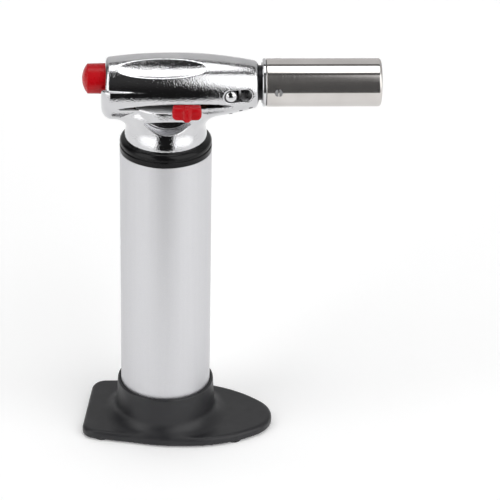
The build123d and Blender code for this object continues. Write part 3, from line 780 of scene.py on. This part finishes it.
def lever_field(x, y, z):
    """Lever: two wings, a centre rib, a plate above them and the arm to the drive pin."""
    x = x - LEVER_X
    z = z - AXIS_Z
    arm = brick(x, y, z, *LEVER_ARM, 0.3)
    arm = np.maximum(arm, PIN_HOLE_R - np.hypot(x, y - PIN_HOLE_Y))
    plate = brick(x, y, z, *LEVER_PLATE, 1.2)
    wings = pad(x, y, z, *LEVER_WINGS, 2.6, 1.15)
    rib = pad(x, y, z, *LEVER_RIB, 1.5, 1.4)
    tab = union_round(wings, rib, 0.9)
    return union_round(union_round(tab, plate, 0.9), arm, 0.4)


lever = moulded(
    "lever_moulding", lever_field, LEVER_LOW, LEVER_HIGH, 0.3, "lever", ["gas_lever"], RED
)
# Chrome round the lever doesn't mirror it: in the photo the casting above it shows no red
lever.visible_glossy = False
turned(
    "knob_turned",
    [
        (KNOB_LOW[1], 0, 0),
        (KNOB_LOW[1] + 0.12, 1.2, 1.0),
        (KNOB_LOW[1] + 0.8, KNOB_R, 1.2),
        (KNOB_LOW[1] + KNOB_HEAD, KNOB_R, 0.3),
        (KNOB_LOW[1] + KNOB_HEAD, KNOB_STEM_R, 0.1),
        (KNOB_HIGH[1], KNOB_STEM_R, 0.1),
        (KNOB_HIGH[1], 0, 0),
    ],
    "y", (KNOB_X, 0, AXIS_Z + WINDOW_Z), "air_slide", ["air_knob"], TRIM, segments=64,
)


SLEEVE_LIP_R = 8.64
SLEEVE_LIP_BORE_R = 5.6
SLEEVE_NOTCH_Z = 5.05
SLEEVE_END = span("air_sleeve")[1][0]
MOUNT_LIP_R = 9.015
MOUNT_LIP_BORE_R = 6.4
MOUNT_REAR = span("burner_mount")[0][0]


def sleeve_lip_field(x, y, z):
    """Bright lip at the front of the air sleeve, open above for the spark lead."""
    z = z - AXIS_Z
    ring = slab(np.hypot(y, z), SLEEVE_LIP_BORE_R, SLEEVE_LIP_R)
    lip = meet_round(ring, slab(x, SLEEVE_END - 1.25, SLEEVE_END + 0.04), 0.3)
    return np.maximum(lip, z - SLEEVE_NOTCH_Z)


moulded(
    "sleeve_lip", sleeve_lip_field, (SLEEVE_END - 1.5, -9, AXIS_Z - 9), (SLEEVE_END + 0.3, 9, AXIS_Z + 6),
    0.25, "air_slide", [], SATIN_CAST,
)
turned(
    "mount_lip",
    [
        (MOUNT_REAR - 0.12, MOUNT_LIP_BORE_R, 0.1),
        (MOUNT_REAR - 0.12, MOUNT_LIP_R, 0.2),
        (MOUNT_REAR + 0.9, MOUNT_LIP_R, 0.1),
        (MOUNT_REAR + 0.9, MOUNT_LIP_BORE_R, 0.1),
    ],
    "x", NOZZLE, "torch", [], SATIN_CAST, segments=128,
)


# ---------------------------------------------------------------- flame tube

TUBE_START = TUBE_LOW[0]
TUBE_END = TUBE_HIGH[0]
TUBE_WALL = 0.6
TUBE_LIP = 3.4
RING_BORE_R = 10.65

turned(
    "flame_tube_shell",
    [
        (TUBE_START, TUBE_R - TUBE_WALL, 0.1),
        (TUBE_START, TUBE_R, 0.25),
        (TUBE_END, TUBE_R, 3.2),
        (TUBE_END, TUBE_R - TUBE_LIP, 0.25),
        (TUBE_END - TUBE_WALL, TUBE_R - TUBE_LIP, 0.2),
        (TUBE_END - TUBE_WALL, TUBE_R - TUBE_WALL, 2.6),
    ],
    "x", NOZZLE, "torch", ["flame_tube"], STAINLESS, segments=224, steps=10,
)
turned(
    "rear_ring_turned",
    [
        (RING_LOW[0], RING_BORE_R, 0.1),
        (RING_LOW[0], TUBE_R - 0.7, 0.3),
        (RING_LOW[0] + 0.45, TUBE_R, 0.3),
        (RING_HIGH[0] - 0.05, TUBE_R, 0.35),
        (RING_HIGH[0], RING_BORE_R, 0.1),
    ],
    "x", NOZZLE, "torch", ["tube_rear_ring"], TRIM, segments=192,
)


SCREW_LOW, SCREW_HIGH = span("tube_screws")
SCREW_X = (SCREW_LOW[0] + SCREW_HIGH[0]) / 2
SCREW_OUT = 12.3
# Size of the thin dark rings that paint the shadow in the gap round each screw head
SHADOW_RING_INNER_R = 1.97
SHADOW_RING_OUTER_R = 2.3
SHADOW_RING_REACH = 2.9
for turn in (0, 120, 240):
    angle = math.radians(turn)

    def painted_screw_shadow(x, y, z, angle=angle):
        """Thin dark ring round a screw's head, following the tube: painted shadow of the gap round the
        head.
        """
        z = z - AXIS_Z
        across = z * math.cos(angle) - y * math.sin(angle)
        out = -y * math.cos(angle) - z * math.sin(angle)
        reach = np.hypot(x - SCREW_X, across)
        shell = slab(np.hypot(y, z) - TUBE_R, -0.3, 0.02)
        return np.maximum(np.maximum(slab(reach, SHADOW_RING_INNER_R, SHADOW_RING_OUTER_R), shell), -out)

    centre = np.array((SCREW_X, -SCREW_OUT * math.cos(angle), AXIS_Z - SCREW_OUT * math.sin(angle)))
    # Dark ring laid on the tube: painted shadow where the gap round the screw head would be shaded
    moulded(
        "screw_gap_%d" % turn, painted_screw_shadow, centre - SHADOW_RING_REACH, centre + SHADOW_RING_REACH, 0.2,
        "torch", [], DARK_STEEL_AND_SHADE,
    )


# ---------------------------------------------------------------- tank

TANK_WALL = 1.2
TRIM_BORE_R = 21.05
TRIM_SEAT = 1.2
TRIM_EDGE_HEIGHT = 2.7
TRIM_EDGE_WIDTH = 2.6
GROOVE_R = TANK_R - 0.55

turned(
    "tank_shell",
    [
        (TANK_LOW[2], TANK_R - TANK_WALL, 0.2),
        (TANK_LOW[2], TANK_R, 0.4),
        (TANK_HIGH[2], TANK_R, 0.3),
        (TANK_HIGH[2], TANK_R - TANK_WALL, 0.2),
    ],
    "z", (0, 0, 0), "torch", ["tank_tube"], ALUMINIUM, segments=256,
)
turned(
    "trim_ring_moulding",
    [
        (TRIM_LOW[2], TRIM_BORE_R, 0.1),
        (TRIM_LOW[2], TANK_R, 0.3),
        (TRIM_LOW[2] + 2.7, TANK_R, 0.35),
        (TRIM_LOW[2] + 3.1, GROOVE_R, 0.15),
        (TRIM_LOW[2] + 3.8, GROOVE_R, 0.15),
        (TRIM_LOW[2] + 4.2, TANK_R, 0.35),
        *[
            (
                TRIM_HIGH[2] - TRIM_EDGE_HEIGHT + TRIM_EDGE_HEIGHT * math.sin(a),
                TANK_R - TRIM_EDGE_WIDTH + TRIM_EDGE_WIDTH * math.cos(a),
                0,
            )
            for a in np.linspace(0, math.pi / 2, 9)
        ],
        (TRIM_HIGH[2], FLANGE_R + 0.1, 0.15),
        (TRIM_HIGH[2] - TRIM_SEAT, FLANGE_R + 0.1, 0.05),
        (TRIM_HIGH[2] - TRIM_SEAT, TRIM_BORE_R, 0.05),
    ],
    "z", (0, 0, 0), "torch", ["top_ring"], GLOSS_BLACK, segments=224,
)


# ---------------------------------------------------------------- stand

PLATE_TOP = 5.5
RIM_BOTTOM = 1.0
STAND_WALL = 2.2
SOCKET_R = TANK_R + 0.08
SOCKET_FLOOR = TANK_LOW[2]
COLLAR_TOP = COLLAR_HIGH[2]
STAND_TURN = math.radians(7.0)
STAND_REAR = -43.0
NOSE_R = 19.0
NOSE_X = 39.1
BELLY_X = 9.0
BELLY_Y = 30.3
FRONT_DROP = 34.44
REAR_DROP = 330.0
REAR_CORNER_R = 7.0
RIM_EDGE_R = 2.2
COLLAR_R = 25.8
COLLAR_SLOPE = 0.055
COLLAR_FILLET_R = 7.0
UNDERSIDE_R = 26.3
BOSS_R = 11.2
ACCESS_R = 9.0
BOSS_TOP = 3
FOOT_POST_R = 4.5


def stand_plan(x, y):
    """Distance to the D-shaped plan: bowed sides, round nose, straight rear with round corners."""
    y = np.abs(y)
    front = np.hypot(x - BELLY_X, y + FRONT_DROP) - BELLY_Y - FRONT_DROP
    rear = np.hypot(x - BELLY_X, y + REAR_DROP) - BELLY_Y - REAR_DROP
    nose = np.hypot(x - NOSE_X, y) - NOSE_R
    at_nose = (x > NOSE_X) & (y * (NOSE_X - BELLY_X) < (x - NOSE_X) * FRONT_DROP)
    side = np.where(x < BELLY_X, rear, np.where(at_nose, nose, front))
    return meet_round(side, STAND_REAR - x, REAR_CORNER_R)


def stand_outside(x, y, z):
    """Plate with a rolled edge, flared up into the collar."""
    plate = meet_round(stand_plan(x, y), z - PLATE_TOP, RIM_EDGE_R)
    reach = np.hypot(x, y)
    collar = meet_round(reach - COLLAR_R - (COLLAR_TOP - z) * COLLAR_SLOPE, z - COLLAR_TOP, 0.6)
    return union_round(plate, collar, COLLAR_FILLET_R)


def stand_field(x, y, z):
    """Stand's shape, with the plan turned a little about the tank's axis."""
    turn_cos, turn_sin = math.cos(STAND_TURN), math.sin(STAND_TURN)
    x, y = x * turn_cos - y * turn_sin, x * turn_sin + y * turn_cos
    reach = np.hypot(x, y)
    outside = stand_outside(x, y, z)
    underside = np.maximum(outside + STAND_WALL, UNDERSIDE_R - reach)
    middle = np.maximum(slab(reach, BOSS_R, SOCKET_R), z - SOCKET_FLOOR + STAND_WALL)
    shape = np.maximum(outside, -np.minimum(underside, middle))
    shape = cut_round(shape, np.maximum(reach - SOCKET_R, SOCKET_FLOOR - z), 0.3)
    shape = np.maximum(shape, ACCESS_R - reach)
    for foot_x, foot_y in FEET:
        post = np.hypot(x - foot_x, np.abs(y) - foot_y) - FOOT_POST_R
        shape = np.minimum(shape, np.maximum(post, z - PLATE_TOP + 1))
    ring = slab(reach, ACCESS_R, BOSS_R)
    bottom = np.where(reach < 12, 0.0, RIM_BOTTOM)
    shape = np.minimum(shape, np.maximum(ring, z - BOSS_TOP))
    return meet_round(shape, bottom - z, 0.2)


FOOT_INSET = 5.1
REAR_FOOT_X = -32.0
FRONT_FOOT_X = 39.0
rear_side = math.sqrt((BELLY_Y + REAR_DROP) ** 2 - (REAR_FOOT_X - BELLY_X) ** 2) - REAR_DROP
front_side = math.sqrt((BELLY_Y + FRONT_DROP) ** 2 - (FRONT_FOOT_X - BELLY_X) ** 2) - FRONT_DROP
FEET = [(REAR_FOOT_X, rear_side - FOOT_INSET), (FRONT_FOOT_X, front_side - FOOT_INSET)]
STAND_LOW = np.minimum(PLATE_LOW, COLLAR_LOW)
STAND_HIGH = np.maximum(PLATE_HIGH, COLLAR_HIGH)

moulded(
    "stand_moulding", stand_field, STAND_LOW, STAND_HIGH, 0.7, "stand",
    ["base_plate", "base_collar"], BLACK,
)


# ---------------------------------------------------------------- stage, light and camera

FLOOR_SIDE = 2.2
FLOOR_FRONT = -0.40
FLOOR_BACK = 2.6


def add_floor():
    """Plain pale floor that the torch stands on, with a faint glow of its own."""
    mesh = bpy.data.meshes.new("floor")
    corners = [
        (-FLOOR_SIDE, FLOOR_FRONT, 0),
        (FLOOR_SIDE, FLOOR_FRONT, 0),
        (FLOOR_SIDE, FLOOR_BACK, 0),
        (-FLOOR_SIDE, FLOOR_BACK, 0),
    ]
    mesh.from_pydata(corners, [], [(0, 1, 2, 3)])
    floor = bpy.data.objects.new("floor", mesh)
    bpy.context.scene.collection.objects.link(floor)
    s = Shader("pale_floor").set(Metallic=0.0, Roughness=0.9)
    s.set(Emission_Color=(1, 1, 1, 1), Emission_Strength=0.16)
    s.colour(s.ramp(s.noise(3, 2), [(0.3, (0.955, 0.955, 0.955)), (0.7, (0.975, 0.975, 0.975))]))
    mesh.materials.append(s.material)


# Studio brightness round the X axis: angle from the front horizon, up over the top to the back
FRONT_PROFILE = [
    (-180, 0.80), (-28, 0.80), (-24, 0.010), (-2, 0.012), (8, 0.015), (20, 0.03), (32, 0.045), (48, 0.05),
    (60, 0.035), (68, 0.03), (78, 0.03), (85, 0.35), (91, 2.8), (126, 2.8), (131, 0.9), (136, 0.45),
    (143, 1.15), (158, 1.05), (180, 0.8),
]
# How much the side lights show, and their brightness, by bearing from the front
SIDE_SHOWN = [(-180, 1.0), (-27, 1.0), (-23, 0.0), (19, 0.0), (25, 1.0), (180, 1.0)]
SIDE_LEVELS = [
    (-180, 0.7), (-135, 0.5), (-125, 0.12), (-98, 0.12), (-90, 0.4), (-82, 0.45), (-78, 1.9),
    (78, 1.9), (84, 0.45), (120, 0.45), (180, 0.7),
]
# Brightness over the side lights, by height in degrees, and how much of it shows
ABOVE_LEVELS = [(-90, 1.0), (-10, 0.9), (58, 0.4), (61, 0.03), (69, 0.03), (73, 2.8), (90, 2.8)]
ABOVE_SHOWN = [(-90, 1.0), (-16, 1.0), (-3, 0.0), (55, 0.0), (60, 1.0), (90, 1.0)]
TOP_LEVEL = 2.8
# Degrees that the side lights' edges lean for each degree of height, up to a height
SIDE_LEAN = 0.43
LEAN_HEIGHT = 29


def add_studio():
    """Soft light all round: bright top and sides, pale back, dim front where the camera stands."""
    world = bpy.data.worlds.new("studio")
    bpy.context.scene.world = world
    world.use_nodes = True
    tree = world.node_tree
    tree.nodes.clear()

    def new(kind, **settings):
        node = tree.nodes.new(kind)
        for key, value in settings.items():
            setattr(node, key, value)
        return node

    def maths(operation, a, b=None):
        node = new("ShaderNodeMath", operation=operation)
        for socket, value in zip(node.inputs, (a, b)):
            if value is None:
                continue
            if isinstance(value, (int, float)):
                socket.default_value = value
            else:
                tree.links.new(value, socket)
        return node.outputs[0]

    def ramp(source, stops):
        return colour_ramp(tree, source, [(place, (level,) * 3) for place, level in stops])

    split = new("ShaderNodeSeparateXYZ")
    tree.links.new(new("ShaderNodeTexCoord").outputs["Generated"], split.inputs[0])
    x, y, z = split.outputs
    turn = maths("ARCTAN2", z, maths("MULTIPLY", y, -1))
    place = maths("ADD", maths("DIVIDE", turn, 2 * math.pi), 0.5)
    front = ramp(place, [((a + 180) / 360, level / TOP_LEVEL) for a, level in FRONT_PROFILE])
    bearing = maths("DIVIDE", maths("ARCTAN2", x, maths("MULTIPLY", y, -1)), 2 * math.pi)
    height = maths("DIVIDE", maths("ARCSINE", z), math.pi)
    lean_height = maths("MINIMUM", maths("MAXIMUM", height, 0), LEAN_HEIGHT / 180)
    slant = maths("MULTIPLY", lean_height, SIDE_LEAN * 0.5)
    leaning = maths("ADD", maths("ADD", bearing, slant), 0.5)
    bearing = maths("ADD", bearing, 0.5)
    height = maths("ADD", height, 0.5)

    def round_ramp(source, stops, scale):
        return ramp(source, [((a + 180) / 360, level / scale) for a, level in stops])

    def height_ramp(stops, scale):
        return ramp(height, [((a + 90) / 180, level / scale) for a, level in stops])

    def mixed(factor, first, second):
        node = new("ShaderNodeMix", data_type="RGBA")
        tree.links.new(factor, node.inputs[0])
        tree.links.new(first, node.inputs[6])
        tree.links.new(second, node.inputs[7])
        return node.outputs[2]

    level = round_ramp(bearing, SIDE_LEVELS, TOP_LEVEL)
    side = mixed(height_ramp(ABOVE_SHOWN, 1), level, height_ramp(ABOVE_LEVELS, TOP_LEVEL))
    colour = mixed(round_ramp(leaning, SIDE_SHOWN, 1), front, side)
    studio = new("ShaderNodeBackground")
    studio.inputs["Strength"].default_value = TOP_LEVEL
    tree.links.new(colour, studio.inputs["Color"])
    plain = new("ShaderNodeBackground")
    plain.inputs["Color"].default_value = (1, 1, 1, 1)
    shown = new("ShaderNodeMixShader")
    tree.links.new(new("ShaderNodeLightPath").outputs["Is Camera Ray"], shown.inputs[0])
    tree.links.new(studio.outputs[0], shown.inputs[1])
    tree.links.new(plain.outputs[0], shown.inputs[2])
    tree.links.new(shown.outputs[0], new("ShaderNodeOutputWorld").inputs["Surface"])


def add_camera():
    """Long lens, looking down on the torch from the lever side."""
    pitch, roll, yaw = math.radians(28.6), math.radians(1.03), math.radians(-2.8)
    distance = 1.484
    aim = Vector((0.04472, 0, 0.10516))
    forward = Vector((0, math.cos(pitch), -math.sin(pitch)))
    right = Vector((1, 0, 0))
    up = Vector((0, math.sin(pitch), math.cos(pitch)))
    turned_right = math.cos(roll) * right + math.sin(roll) * up
    turned_up = math.cos(roll) * up - math.sin(roll) * right
    place = aim - distance * forward
    spin = Matrix.Rotation(yaw, 4, "Z")
    look = Matrix((turned_right, turned_up, -forward)).transposed().to_4x4()
    camera = bpy.data.cameras.new("camera")
    camera.lens = 201.6
    camera.sensor_width = 36
    camera.clip_end = 20
    viewer = bpy.data.objects.new("camera", camera)
    viewer.matrix_world = spin @ Matrix.Translation(place) @ look
    bpy.context.scene.collection.objects.link(viewer)
    bpy.context.scene.camera = viewer


add_floor()
add_studio()
add_camera()
bpy.context.scene.view_settings.view_transform = "Standard"
